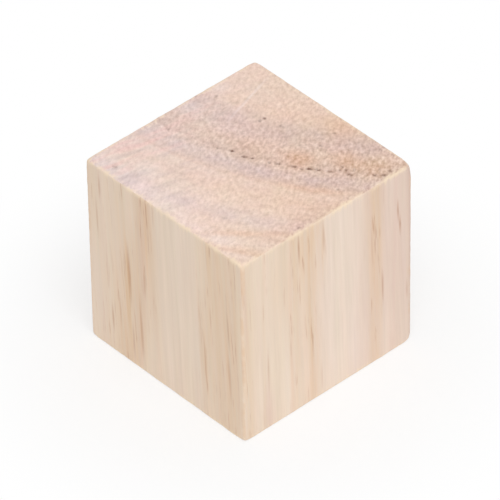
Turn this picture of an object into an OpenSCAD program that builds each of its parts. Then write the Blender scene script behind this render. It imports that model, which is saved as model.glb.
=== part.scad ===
// Bare pine cube: one solid block, cut from a planed square stick.
// The grain runs along Z. The two end faces, top and bottom, are sawn across
// the grain, and the four side faces are planed along it. The twelve arrises
// are eased with abrasive paper and the eight corners are worn a little blunt.
// Units are millimetres. The origin is the centre of the bottom face.

/* [Block] */
// Width of the planed stick, the same both ways across the grain
stick_w = 30; // [20:1:50]
// Length sawn off the stick, along the grain
cut_l = 30; // [20:1:50]

/* [Easing] */
// Radius of the four long arrises, which run along the grain
long_arris_r = 0.4; // [0.2:0.1:1]
// Radius of the eight arrises round the two end faces
end_arris_r = 0.3; // [0.2:0.1:1]
// Depth worn off each corner, from the point where its three faces would meet
corner_wear = 0.4; // [0.3:0.1:1]

/* [Hidden] */

$fn = 64;
pine = "#dfccb7";

// The wear is a slice off a ball round the block's middle, so each corner
// comes out very slightly domed and all eight match.
middle_z = cut_l / 2;
corner_reach = norm([stick_w / 2, stick_w / 2, cut_l / 2]);
wear_r = corner_reach - corner_wear;

// Rectangle w by h, centred, with true arcs of radius r at its corners
module eased_outline(w, h, r) {
    square([w - 2 * r, h], center = true);
    square([w, h - 2 * r], center = true);
    for (x = [-1, 1], y = [-1, 1])
        translate([x * (w / 2 - r), y * (h / 2 - r)])
            circle(r = r);
}

// The stick, with its four long arrises eased
module planed_stick() {
    linear_extrude(height = cut_l)
        eased_outline(stick_w, stick_w, long_arris_r);
}

// Outline of the block from the front, with the end arrises eased,
// extruded from front to back
module end_easing() {
    translate([0, stick_w / 2, middle_z])
        rotate([90, 0, 0])
            linear_extrude(height = stick_w)
                eased_outline(stick_w, cut_l, end_arris_r);
}

// Ball that leaves the faces and arrises alone and blunts the corners
module corner_ball() {
    translate([0, 0, middle_z])
        sphere(r = wear_r);
}

// The finished cube: what the stick, both end easings and the ball share
module wooden_cube() {
    color(pine)
        intersection() {
            planed_stick();
            end_easing();
            rotate([0, 0, 90]) end_easing();
            corner_ball();
        }
}

wooden_cube();
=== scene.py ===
"""Bare pine cube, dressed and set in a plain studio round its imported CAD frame.

The block is a length sawn off a planed pine stick. Its grain runs along Z, so the top and the
base show sawn end grain and the other four faces show planed long grain. One growth figure,
fixed in the block, runs through all six faces: the rings curve round a pith that lies outside
the block, and the resin canals and the fibres follow the grain's slight lean. The same figure
colours both finishes and raises the relief of the mesh.

Inside the trees all lengths are millimetres in the part's own frame: the origin is the centre
of the base, and +Z is up the grain. Blender objects are in metres.
"""

import logging
import math
from dataclasses import dataclass, field
from enum import Enum, IntEnum
from typing import Any

import bpy
from bpy.types import Material, Node, NodeSocket, NodeTree, Object
from mathutils import Matrix, Vector


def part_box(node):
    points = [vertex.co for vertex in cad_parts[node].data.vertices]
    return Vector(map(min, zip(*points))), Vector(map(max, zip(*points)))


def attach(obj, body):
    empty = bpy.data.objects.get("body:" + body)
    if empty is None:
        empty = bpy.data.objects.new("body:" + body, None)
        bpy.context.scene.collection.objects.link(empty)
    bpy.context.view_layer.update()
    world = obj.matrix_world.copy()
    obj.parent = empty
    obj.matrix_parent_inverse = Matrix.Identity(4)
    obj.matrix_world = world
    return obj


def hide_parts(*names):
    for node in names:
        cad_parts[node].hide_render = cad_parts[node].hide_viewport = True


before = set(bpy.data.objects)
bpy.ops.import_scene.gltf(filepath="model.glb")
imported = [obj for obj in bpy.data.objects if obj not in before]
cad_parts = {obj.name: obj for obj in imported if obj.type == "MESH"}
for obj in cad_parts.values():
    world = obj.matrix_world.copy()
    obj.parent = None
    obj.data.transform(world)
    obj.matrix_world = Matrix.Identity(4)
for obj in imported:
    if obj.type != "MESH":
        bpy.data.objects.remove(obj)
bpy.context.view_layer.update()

NODE = "wooden_cube"
BODY = "root"
MM = 0.001

# Blender's names for the nodes that are used most, and settings that many of them share. The
# fourth dimension of a noise is for its seed.
MATH = "ShaderNodeMath"
VECTOR_MATH = "ShaderNodeVectorMath"
MAP_RANGE = "ShaderNodeMapRange"
MIX = "ShaderNodeMix"
NOISE = "ShaderNodeTexNoise"
ROTATE = "ShaderNodeVectorRotate"
SEPARATE = "ShaderNodeSeparateXYZ"
COMBINE = "ShaderNodeCombineXYZ"
SEEDED = {"noise_dimensions": "4D"}
SMOOTH = {"interpolation_type": "SMOOTHSTEP"}
UNCLAMPED = {"clamp": False}
ABOUT_GRAIN = {"rotation_type": "Z_AXIS"}

# Most of a noise's values lie between these two, and their mean is about 0.5.
NOISE_LOW = 0.3
NOISE_HIGH = 0.7

# An oval fades from the first to the second of these, as shares of its half size.
OVAL_CORE = 0.1
OVAL_RIM = 1.4

logging.basicConfig(level=logging.INFO, format="%(name)s: %(message)s")
log = logging.getLogger("scene")


def linear(hex_colour: str) -> tuple[float, float, float, float]:
    """Turns an sRGB hex colour into the linear values that Blender's sockets hold.

    Args:
        hex_colour: The colour as "#rrggbb".

    Returns:
        Linear red, green and blue, and an alpha of 1.
    """
    parts = [int(hex_colour[i:i + 2], 16) / 255 for i in (1, 3, 5)]
    red, green, blue = (c / 12.92 if c <= 0.04045 else ((c + 0.055) / 1.055) ** 2.4 for c in parts)
    return red, green, blue, 1.0


def add_node(
    tree: NodeTree,
    kind: str,
    settings: dict[str, Any] | str | None = None,
    inputs: dict[str | int, Any] | None = None,
) -> Node:
    """Adds one node, with its settings and what goes into its sockets.

    Args:
        tree: The tree that takes the node.
        kind: Blender's name for the node.
        settings: Values of the node's properties, by name, or only its operation.
        inputs: By the socket's name, or its number among those in use, a node whose first
            output is linked, or a socket that is linked, or a plain value.

    Returns:
        The new node.
    """
    node = tree.nodes.new(kind)
    if isinstance(settings, str):
        settings = {"operation": settings}
    for name, value in (settings or {}).items():
        setattr(node, name, value)
    in_use = [socket for socket in node.inputs if socket.enabled]
    by_name = {socket.name: socket for socket in reversed(in_use)}
    for key, value in (inputs or {}).items():
        socket = in_use[key] if isinstance(key, int) else by_name[key]
        if isinstance(value, Node):
            value = next(output for output in value.outputs if output.enabled)
        if isinstance(value, NodeSocket):
            tree.links.new(value, socket)
        else:
            socket.default_value = value
    return node


def add_oval(
    tree: NodeTree, place: Any, middle: tuple[float, ...], reach: tuple[float, ...], strength: float
) -> Node:
    """Adds a soft-edged ellipsoid.

    Args:
        tree: The tree that takes the nodes.
        place: Node or socket that holds the place.
        middle: Where the ellipsoid's middle is.
        reach: Half its size along each axis, to where about a quarter of its strength is left.
        strength: The value at its middle.

    Returns:
        Node that gives the strength inside and 0 well outside.
    """
    scaled = add_node(tree, VECTOR_MATH, "MULTIPLY_ADD", {
        0: place,
        1: tuple(1 / half for half in reach),
        2: tuple(-centre / half for centre, half in zip(middle, reach)),
    })
    distance = add_node(tree, VECTOR_MATH, "LENGTH", {0: scaled})
    return add_node(tree, MAP_RANGE, SMOOTH, {
        "Value": distance, "From Min": OVAL_CORE, "From Max": OVAL_RIM,
        "To Min": strength, "To Max": 0.0,
    })


class Face(Enum):
    """The block's four planed faces, by their outward direction in X and Y."""

    FRONT = (0, -1)
    RIGHT = (1, 0)
    BACK = (0, 1)
    LEFT = (-1, 0)

    def point(self, across: float, height: float, half_width: float) -> Vector:
        """Finds a place on the face.

        Args:
            across: Distance from the face's middle line, along +X or +Y.
            height: Distance up from the base.
            half_width: Distance of the face from the block's axis.

        Returns:
            The place in the part's frame.
        """
        x, y = self.value
        return Vector((x * half_width + abs(y) * across, y * half_width + abs(x) * across, height))


class Tint(Enum):
    """What changes the colour of the bare wood, by the name of the finish's paint for it."""

    ROSY = "rosy"
    AMBER = "amber"
    SHADE = "shade"
    PALE = "pale"


class Layer(IntEnum):
    """The wood's layers of noise, by what each adds to the figure's seed."""

    WANDER = 0
    FIBRE = 1
    STRIPE = 2
    LINE = 3
    CLOUD = 4
    SPECKLE = 5
    STROKE = 6
    TINGE = 7


@dataclass(frozen=True)
class GrowthBand:
    """A band in the rings, laid down as the tree's growth slowed.

    Attributes:
        radius: Distance from the pith to where the band is strongest.
        rise: How far inside that place it starts.
        fall: How far outside that place it ends.
        tint: What it does to the colour.
        share: How strongly, from 0 to 1.
    """

    radius: float
    rise: float
    fall: float
    tint: Tint
    share: float


@dataclass(frozen=True)
class Patch:
    """A soft oval patch of coloured wood, drawn out along the grain.

    Attributes:
        x, y: Where its middle is at the top of the block.
        reach_x, reach_y: Half its size along X and along Y, before it is turned.
        tint: What it does to the colour.
        share: How strongly, from 0 to 1.
        turn: How far it is turned about the grain, in degrees.
        height: Where its middle is, up from the base.
        reach_up: Half its size along the grain. The default is right through the block.
    """

    x: float
    y: float
    reach_x: float
    reach_y: float
    tint: Tint
    share: float
    turn: float = 0.0
    height: float = 15.0
    reach_up: float = 500.0


@dataclass(frozen=True)
class Canal:
    """One or more resin canals side by side, open as a dark pit on a sawn end.

    Attributes:
        x, y: Where the pit is at the top of the block.
        width, length: Its size across the rings and along them.
        depth: How dark it is, from 0 to 1.
        reach_up: Half its size along the grain. The default is right through the block.
    """

    x: float
    y: float
    width: float
    length: float
    depth: float
    reach_up: float = 300.0


@dataclass(frozen=True)
class Streak:
    """A resin streak: one or more canals cut open along a planed face.

    Attributes:
        face: The face that it lies on.
        across: Where its middle is, along +X or +Y from the face's middle line.
        height: Where its middle is, up from the base.
        length, width: Its size along the grain and across it.
        depth: How dark it is, from 0 to 1.
    """

    face: Face
    across: float
    height: float
    length: float
    width: float
    depth: float


@dataclass(frozen=True)
class PineFigure:
    """The growth figure of the stick: rings, canals and fibres, in millimetres.

    Attributes:
        half_width: Half the stick's width.
        length: The block's length along the grain.
        pith: Where the pith runs at the top of the block, in X and Y.
        drift: How far the grain moves along X and Y from the top of the block to its base.
        wander: How far the rings stray from true circles.
        wander_span: Distance across the grain over which they stray.
        wander_stretch: That distance as a share of the one along the grain.
        fray: How far single fibres stray.
        fibre_width, fibre_length: Size of a bundle of fibres.
        stripe_width, stripe_length: Size of the broader stripes, light and dark by turns.
        line_width, line_length: Size of the fine brown lines along the grain.
        ray_angle: Direction of the rays that run through the row of canals, turned from +Y
            towards -X, in degrees.
        seed: Seed of all the figure's noise.
        canals: The resin canals that are wide enough to see. Most stand in a row, laid down in
            one season.
        streaks: The larger resin streaks on the planed faces.
    """

    half_width: float
    length: float
    pith: tuple[float, float] = (-19.5, 43.9)
    drift: tuple[float, float] = (1.3, 0.9)
    wander: float = 0.35
    wander_span: float = 14.0
    wander_stretch: float = 0.3
    fray: float = 0.5
    # A single fibre is about 0.04 mm wide, which is too fine to show, so bundles are drawn.
    fibre_width: float = 0.25
    fibre_length: float = 14.0
    stripe_width: float = 0.75
    stripe_length: float = 35.0
    line_width: float = 0.2
    line_length: float = 4.5
    ray_angle: float = 34.0
    seed: float = 4.0
    canals: tuple[Canal, ...] = (
        Canal(-4.8, -1.1, 0.40, 0.70, 0.40),
        Canal(-3.1, -0.1, 0.55, 0.85, 0.90),
        Canal(-1.2, 0.3, 0.60, 0.95, 0.95),
        Canal(-0.2, 0.8, 0.50, 0.70, 0.90),
        Canal(2.0, 1.8, 0.55, 0.50, 0.95),
        Canal(2.9, 2.4, 0.70, 0.95, 1.00),
        Canal(4.8, 3.5, 0.50, 1.25, 0.90),
        Canal(5.9, 3.9, 0.40, 0.60, 0.55),
        Canal(6.6, 4.6, 0.60, 0.85, 1.00),
        Canal(7.4, 5.3, 0.50, 1.00, 0.85),
        Canal(8.8, 6.2, 0.50, 1.00, 0.45),
        Canal(9.2, 8.1, 0.70, 0.60, 0.60),
        Canal(10.0, 8.0, 0.65, 0.60, 0.60),
        Canal(11.0, 7.7, 0.70, 0.85, 0.60),
        Canal(13.4, 10.0, 0.65, 0.75, 0.85),
        Canal(14.2, 10.8, 0.70, 0.75, 0.90),
        Canal(14.1, 12.0, 0.60, 0.70, 0.60),
        Canal(10.0, 14.1, 0.60, 0.60, 0.60),
        Canal(4.1, 9.0, 0.60, 0.60, 0.50),
        Canal(-5.1, 6.8, 0.55, 0.50, 1.00),
        Canal(-5.1, 7.5, 0.55, 0.50, 0.70),
        Canal(-2.4, 8.0, 0.70, 0.85, 0.45),
        Canal(-12.8, 6.1, 0.95, 0.50, 0.35),
        Canal(-11.1, -13.4, 0.95, 0.70, 0.75),
        Canal(-12.2, -3.0, 0.95, 0.70, 0.40),
        Canal(6.4, -9.9, 0.85, 0.70, 0.30),
        Canal(14.3, -4.4, 0.60, 0.70, 0.45),
        Canal(12.1, 4.5, 0.60, 0.60, 0.40),
        Canal(9.5, 7.3, 0.50, 0.50, 0.75),
        Canal(10.7, 8.8, 0.90, 0.45, 0.60),
        Canal(13.0, 11.2, 0.80, 0.45, 0.60),
        Canal(3.5, 12.0, 0.60, 0.50, 0.40),
    )
    streaks: tuple[Streak, ...] = (
        Streak(Face.FRONT, -12.5, 27.0, 5.0, 0.40, 0.45),
        Streak(Face.FRONT, -13.1, 21.5, 8.0, 0.40, 0.45),
        Streak(Face.FRONT, -7.0, 15.4, 12.0, 0.60, 0.70),
        Streak(Face.FRONT, -10.6, 5.7, 5.6, 0.45, 0.70),
        Streak(Face.FRONT, -9.0, 7.8, 6.5, 0.35, 0.35),
        Streak(Face.FRONT, -6.5, 4.2, 7.0, 0.40, 0.60),
        Streak(Face.FRONT, -4.8, 7.0, 14.0, 0.50, 0.60),
        Streak(Face.FRONT, -4.0, 14.7, 4.0, 0.40, 0.30),
        Streak(Face.FRONT, 7.6, 8.2, 14.0, 0.45, 0.60),
        Streak(Face.FRONT, 8.8, 17.5, 5.0, 0.35, 0.35),
        Streak(Face.FRONT, 12.1, 17.5, 8.0, 0.40, 0.60),
        Streak(Face.FRONT, 12.2, 9.5, 9.0, 0.50, 0.40),
        Streak(Face.RIGHT, -5.1, 27.3, 6.0, 0.45, 0.75),
        Streak(Face.RIGHT, -0.8, 27.0, 6.5, 0.40, 0.50),
        Streak(Face.RIGHT, -10.6, 8.0, 13.0, 0.45, 0.50),
        Streak(Face.RIGHT, -1.2, 3.8, 5.5, 0.40, 0.30),
        Streak(Face.RIGHT, 7.8, 20.0, 16.0, 0.35, 0.30),
        Streak(Face.RIGHT, 9.7, 11.8, 8.0, 0.45, 0.70),
        Streak(Face.RIGHT, 12.6, 23.4, 4.8, 0.40, 0.80),
        Streak(Face.RIGHT, 13.0, 20.6, 4.6, 0.40, 0.95),
        Streak(Face.RIGHT, 14.1, 9.0, 3.6, 0.40, 0.50),
        Streak(Face.BACK, -11.6, 21.0, 7.0, 0.40, 0.50),
        Streak(Face.BACK, -5.2, 7.5, 11.0, 0.45, 0.65),
        Streak(Face.BACK, -4.1, 12.0, 5.0, 0.35, 0.40),
        Streak(Face.BACK, 3.4, 24.0, 6.0, 0.40, 0.45),
        Streak(Face.BACK, 7.9, 13.0, 9.0, 0.45, 0.55),
        Streak(Face.LEFT, -9.8, 12.0, 9.0, 0.45, 0.60),
        Streak(Face.LEFT, -2.3, 24.0, 6.5, 0.40, 0.45),
        Streak(Face.LEFT, 2.6, 8.0, 8.0, 0.45, 0.70),
        Streak(Face.LEFT, 5.9, 17.5, 12.0, 0.40, 0.55),
        Streak(Face.LEFT, 12.4, 6.0, 5.0, 0.40, 0.45),
    )


class Wood:
    """The growth figure's nodes in one geometry or shader tree.

    Attributes:
        tree, figure, place: As given.
        upright: Node of the place, with the grain's lean taken out.
        straying: The same, moved a little as the rings stray from true circles.
        grain: The same, moved a little more as the fibres stray.
        radius: Socket of the distance from the pith.
        fibre: Node of the fibres' noise, about 0.5 on average.
    """

    def __init__(self, tree: NodeTree, figure: PineFigure, place: Any) -> None:
        """Adds the nodes of the rings and the fibres.

        Args:
            tree: The tree that takes the nodes.
            figure: The growth figure.
            place: Node that holds the place, in millimetres in the part's frame.
        """
        self.tree, self.figure, self.place = tree, figure, place
        below_top = add_node(tree, VECTOR_MATH, "SUBTRACT", {0: (0.0, 0.0, figure.length), 1: place})
        depth = add_node(tree, SEPARATE, {}, {0: below_top}).outputs[2]
        drift_x, drift_y = figure.drift
        shift = add_node(tree, VECTOR_MATH, "SCALE", {
            0: (-drift_x / figure.length, -drift_y / figure.length, 0.0), "Scale": depth,
        })
        self.upright = add_node(tree, VECTOR_MATH, "ADD", {0: place, 1: shift})
        drawn_out = add_node(tree, VECTOR_MATH, "MULTIPLY", {
            0: self.upright, 1: (1.0, 1.0, figure.wander_stretch),
        })
        wander = add_node(tree, NOISE, SEEDED, {
            "Vector": drawn_out, "W": figure.seed + Layer.WANDER, "Scale": 1 / figure.wander_span,
            "Detail": 3.0, "Roughness": 0.65,
        })
        self.straying = add_node(tree, VECTOR_MATH, "MULTIPLY_ADD", {
            0: wander.outputs["Color"], 1: (2 * figure.wander, 2 * figure.wander, 0.0),
            2: self.upright,
        })
        self.fibre = self.add_drawn_noise(
            self.straying, figure.fibre_width, figure.fibre_length, Layer.FIBRE
        )
        frayed = add_node(tree, VECTOR_MATH, "MULTIPLY_ADD", {
            0: self.fibre.outputs["Color"], 1: (figure.fray, figure.fray, 0.0), 2: self.straying,
        })
        # The noise is about 0.5 on average, so this takes the mean of both shifts off again.
        mean_shift = figure.wander + figure.fray / 2
        self.grain = add_node(tree, VECTOR_MATH, "SUBTRACT", {
            0: frayed, 1: (mean_shift, mean_shift, 0.0),
        })
        pith_x, pith_y = figure.pith
        from_pith = add_node(tree, VECTOR_MATH, "MULTIPLY_ADD", {
            0: self.grain, 1: (1.0, 1.0, 0.0), 2: (-pith_x, -pith_y, 0.0),
        })
        self.radius = add_node(tree, VECTOR_MATH, "LENGTH", {0: from_pith}).outputs["Value"]

    def add_drawn_noise(self, place: Node, width: float, length: float, layer: Layer) -> Node:
        """Adds noise that is drawn out along the grain.

        Args:
            place: Place along and across the grain.
            width: Width of a light or a dark stretch, across the grain.
            length: Its length along the grain.
            layer: Which noise it is.

        Returns:
            The noise node, whose values are about 0.5 on average.
        """
        # One step of the noise holds a light and a dark stretch.
        drawn_out = add_node(self.tree, VECTOR_MATH, "MULTIPLY", {
            0: place, 1: (0.5 / width, 0.5 / width, 0.5 / length),
        })
        return add_node(self.tree, NOISE, SEEDED, {
            "Vector": drawn_out, "W": self.figure.seed + layer, "Scale": 1.0,
            "Detail": 3.0, "Roughness": 0.6,
        })

    def add_stripes(self) -> Node:
        """Adds the noise of the broader stripes, about 0.5 on average."""
        width, length = self.figure.stripe_width, self.figure.stripe_length
        return self.add_drawn_noise(self.straying, width, length, Layer.STRIPE)

    def add_lines(self) -> Node:
        """Adds the fine brown lines, where a noise is highest.

        Returns:
            Node of their darkness, from 0 to 1.
        """
        width, length = self.figure.line_width, self.figure.line_length
        noise = self.add_drawn_noise(self.upright, width, length, Layer.LINE)
        return add_node(self.tree, MAP_RANGE, SMOOTH, {
            "Value": noise, "From Min": 0.55, "From Max": 0.72,
        })

    def add_canals(self) -> Node:
        """Adds the resin canals, each an oval turned so that it lies along the rings.

        Returns:
            Node of their darkness, from 0 to 1.
        """
        turn = -math.radians(self.figure.ray_angle)
        along_rings = add_node(self.tree, ROTATE, ABOUT_GRAIN, {
            "Vector": self.grain, "Angle": turn,
        })
        darkest: Any = 0.0
        for canal in self.figure.canals:
            middle = Matrix.Rotation(turn, 3, "Z") @ Vector((canal.x, canal.y, 0.0))
            reach = (canal.length / 2, canal.width / 2, canal.reach_up)
            pit = add_oval(self.tree, along_rings, tuple(middle), reach, canal.depth)
            darkest = add_node(self.tree, MATH, "MAXIMUM", {0: pit, 1: darkest})
        return darkest

    def add_streaks(self) -> Node:
        """Adds the larger resin streaks, each a long thin ellipsoid along the grain.

        Returns:
            Node of their darkness, from 0 to 1.
        """
        figure = self.figure
        darkest: Any = 0.0
        for streak in figure.streaks:
            middle = streak.face.point(streak.across, streak.height, figure.half_width)
            middle -= Vector((*figure.drift, 0.0)) * (1 - streak.height / figure.length)
            reach = (streak.width / 2, streak.width / 2, streak.length / 2)
            cut = add_oval(self.tree, self.grain, tuple(middle), reach, streak.depth)
            darkest = add_node(self.tree, MATH, "MAXIMUM", {0: cut, 1: darkest})
        return darkest


class Coat:
    """The colour of a material, laid on from the bare wood up.

    Attributes:
        tree: The material's tree.
        colour: The bare wood's linear colour, and then the node of the topmost layer.
    """

    def __init__(self, tree: NodeTree, bare: str) -> None:
        """Starts with the bare wood's colour, as sRGB hex."""
        self.tree = tree
        self.colour: Any = linear(bare)

    def paint(self, tint: str, share: Any, strength: float = 1.0) -> None:
        """Lays one colour over what is below it.

        Args:
            tint: The colour, as sRGB hex.
            share: Node or socket of how much of it covers, from 0 to 1.
            strength: What the share is multiplied by.
        """
        covering = add_node(self.tree, MATH, {"operation": "MULTIPLY", "use_clamp": True}, {
            0: share, 1: strength,
        })
        self.colour = add_node(self.tree, MIX, {"data_type": "RGBA"}, {
            "Factor": covering, "A": self.colour, "B": linear(tint),
        })

    def tone(self, noise: Any, swing: float, browning: float = 0.7) -> None:
        """Makes the colour lighter and darker by a noise, and a little browner where darker.

        Args:
            noise: Node of the noise, about 0.5 on average.
            swing: Change of brightness over the noise's usual range, as a share.
            browning: How much richer a darker place is, as a share of how much darker it is.
        """
        level, richness = (
            add_node(self.tree, MAP_RANGE, UNCLAMPED, {
                "Value": noise, "From Min": NOISE_LOW, "From Max": NOISE_HIGH,
                "To Min": 1.0 - change, "To Max": 1.0 + change,
            })
            for change in (swing, -browning * swing)
        )
        self.colour = add_node(self.tree, "ShaderNodeHueSaturation", {}, {
            "Color": self.colour, "Value": level, "Saturation": richness,
        })

    def tinge(self, place: Node, size: tuple[float, ...], seed: float, swing: float) -> None:
        """Makes the colour a little pinker, yellower or greyer from place to place.

        Args:
            place: Node of the place in millimetres.
            size: Size of such a place along each axis.
            seed: Seed of the places.
            swing: Change of red, green and blue, as a share.
        """
        scaled = add_node(self.tree, VECTOR_MATH, "MULTIPLY", {
            0: place, 1: tuple(1 / length for length in size),
        })
        noise = add_node(self.tree, NOISE, SEEDED, {
            "Vector": scaled, "W": seed, "Scale": 1.0, "Detail": 4.0, "Roughness": 0.7,
        })
        level = add_node(self.tree, MAP_RANGE, {"data_type": "FLOAT_VECTOR", **UNCLAMPED}, {
            0: noise.outputs["Color"], 1: (NOISE_LOW,) * 3, 2: (NOISE_HIGH,) * 3,
            3: (1 - swing,) * 3, 4: (1 + swing,) * 3,
        })
        self.colour = add_node(self.tree, VECTOR_MATH, "MULTIPLY", {
            0: self.colour, 1: level.outputs["Vector"],
        })


@dataclass(frozen=True)
class PineFinish:
    """What both finishes of the block share: bare wood, with no oil or lacquer.

    Attributes:
        name: The material's name.
        half_width, length: Half the block's width, and its length along the grain.
        bare: The colour of the bare wood, and after it those of the four tints.
        end_arris, long_arris: The colour where a sawn end meets a side, partly painted highlight,
        and between two sides.
        end_arris_highlight_share, long_arris_share: How strongly those colours show.
        arris_sharp: Distance from an arris in which its colour is at its full strength.
        arris_reach: The least and the greatest distance at which its colour ends.
        arris_wear_and_highlight: What its strength is multiplied by where it is faint and where it is
            strong.
        arris_span: Distance over which it passes from faint to strong.
        relief: Height of the finest relief, which the mesh is too coarse for.
        bands, patches: What colours the wood.
    """

    name: str = "pine"
    half_width: float = 15.0
    length: float = 30.0
    bare: str = "#eedbca"
    rosy: str = "#dfbfb2"
    amber: str = "#deba92"
    shade: str = "#b8958a"
    pale: str = "#fbeadd"
    # The pale line where a sawn end meets a side is partly painted highlight, where the eased arris
    # catches the light.
    end_arris: str = "#f7e1c4"
    long_arris: str = "#e2bf9c"
    end_arris_highlight_share: float = 0.65
    long_arris_share: float = 0.45
    arris_sharp: float = 0.05
    arris_reach: tuple[float, float] = (0.17, 1.53)
    arris_wear_and_highlight: tuple[float, float] = (0.15, 1.25)
    arris_span: float = 2.0
    relief: float = 0.008
    bands: tuple[GrowthBand, ...] = ()
    patches: tuple[Patch, ...] = ()

    def add_share(self, wood: Wood, tint: Tint) -> Any:
        """Adds up all the bands and patches of one tint.

        Args:
            wood: The growth figure's nodes.
            tint: Which of them count.

        Returns:
            Node that gives the tint's strength, from 0 to about 1.
        """
        total: Any = 0.0
        for band in (band for band in self.bands if band.tint is tint):
            rising = add_node(wood.tree, MAP_RANGE, SMOOTH, {
                "Value": wood.radius, "From Min": band.radius - band.rise,
                "From Max": band.radius, "To Max": band.share,
            })
            falling = add_node(wood.tree, MAP_RANGE, SMOOTH, {
                "Value": wood.radius, "From Min": band.radius,
                "From Max": band.radius + band.fall, "To Min": 1.0, "To Max": 0.0,
            })
            total = add_node(wood.tree, MATH, "MULTIPLY_ADD", {0: rising, 1: falling, 2: total})
        for patch in (patch for patch in self.patches if patch.tint is tint):
            turned = add_node(wood.tree, ROTATE, ABOUT_GRAIN, {
                "Vector": wood.grain, "Center": (patch.x, patch.y, 0.0),
                "Angle": -math.radians(patch.turn),
            })
            middle = (patch.x, patch.y, patch.height)
            reach = (patch.reach_x, patch.reach_y, patch.reach_up)
            inside = add_oval(wood.tree, turned, middle, reach, patch.share)
            total = add_node(wood.tree, MATH, "ADD", {0: inside, 1: total})
        return total

    def paint_tints(self, wood: Wood, coat: Coat, *tints: Tint) -> None:
        """Lays on the bands and patches of some tints, one tint after the other.

        Args:
            wood: The growth figure's nodes.
            coat: The colour so far.
            tints: The tints, from the lowest to the highest.
        """
        for tint in tints:
            coat.paint(getattr(self, tint.value), self.add_share(wood, tint))

    def paint_arrises(self, wood: Wood, coat: Coat, ragged: Node) -> None:
        """Lays on the uneven line along each arris, where the abrasive paper rubbed the wood.

        It is pale where a sawn end meets a side, partly rubbed wood and partly painted highlight
        where the eased arris catches the light, and browner between two sides.

        Args:
            wood: The growth figure's nodes.
            coat: The colour so far.
            ragged: Node of the noise that makes the line uneven.
        """
        tree = coat.tree
        centred = add_node(tree, VECTOR_MATH, "SUBTRACT", {
            0: wood.place, 1: (0.0, 0.0, self.length / 2),
        })
        outward = add_node(tree, VECTOR_MATH, "ABSOLUTE", {0: centred})
        inset = add_node(tree, VECTOR_MATH, "SUBTRACT", {
            0: (self.half_width, self.half_width, self.length / 2), 1: outward,
        })
        from_x, from_y, from_end = add_node(tree, SEPARATE, {}, {0: inset}).outputs
        from_side = add_node(tree, MATH, "MINIMUM", {0: from_x, 1: from_y})
        to_end_arris = add_node(tree, MATH, "MAXIMUM", {0: from_side, 1: from_end})
        to_long_arris = add_node(tree, MATH, "MAXIMUM", {0: from_x, 1: from_y})
        nearest, furthest = self.arris_reach
        edge = add_node(tree, MAP_RANGE, {}, {
            "Value": ragged, "From Min": 0.35, "From Max": 0.7,
            "To Min": nearest, "To Max": furthest,
        })
        wear = add_node(tree, NOISE, SEEDED, {
            "Vector": wood.place, "W": 3.0, "Scale": 1 / self.arris_span, "Detail": 2.0,
        })
        faint, strong = self.arris_wear_and_highlight
        # The pale line along the ends is partly painted highlight, where the eased arris catches the
        # light.
        for distance, tint, share in (
            (to_long_arris, self.long_arris, self.long_arris_share),
            (to_end_arris, self.end_arris, self.end_arris_highlight_share),
        ):
            strength = add_node(tree, MAP_RANGE, {}, {
                "Value": wear, "From Min": 0.38, "From Max": 0.58,
                "To Min": faint * share, "To Max": strong * share,
            })
            coat.paint(tint, add_node(tree, MAP_RANGE, SMOOTH, {
                "Value": distance, "From Min": self.arris_sharp, "From Max": edge,
                "To Min": strength, "To Max": 0.0,
            }))

    def dress(self, wood: Wood, coat: Coat) -> tuple[Node, Node]:
        """Lays on the colours of the wood.

        Args:
            wood: The growth figure's nodes.
            coat: The colour of the bare wood.

        Returns:
            Node of the wood's finest noise, and node of its roughness.
        """
        raise NotImplementedError

    def material(self, figure: PineFigure) -> Material:
        """Makes the material.

        Args:
            figure: The wood's growth figure.

        Returns:
            The finished material.
        """
        material = bpy.data.materials.new(self.name)
        material.use_nodes = True
        tree = material.node_tree
        tree.nodes.clear()
        coordinates = add_node(tree, "ShaderNodeTexCoord")
        place = add_node(tree, VECTOR_MATH, "SCALE", {
            0: coordinates.outputs["Object"], "Scale": 1 / MM,
        })
        wood = Wood(tree, figure, place)
        coat = Coat(tree, self.bare)
        finest, roughness = self.dress(wood, coat)
        self.paint_arrises(wood, coat, finest)
        bump = add_node(tree, "ShaderNodeBump", {}, {
            "Strength": 1.0, "Distance": self.relief * MM, "Height": finest,
        })
        shader = add_node(tree, "ShaderNodeBsdfPrincipled", {}, {
            "Base Color": coat.colour, "Roughness": roughness, "Normal": bump,
        })
        add_node(tree, "ShaderNodeOutputMaterial", {}, {"Surface": shader})
        return material


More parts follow.
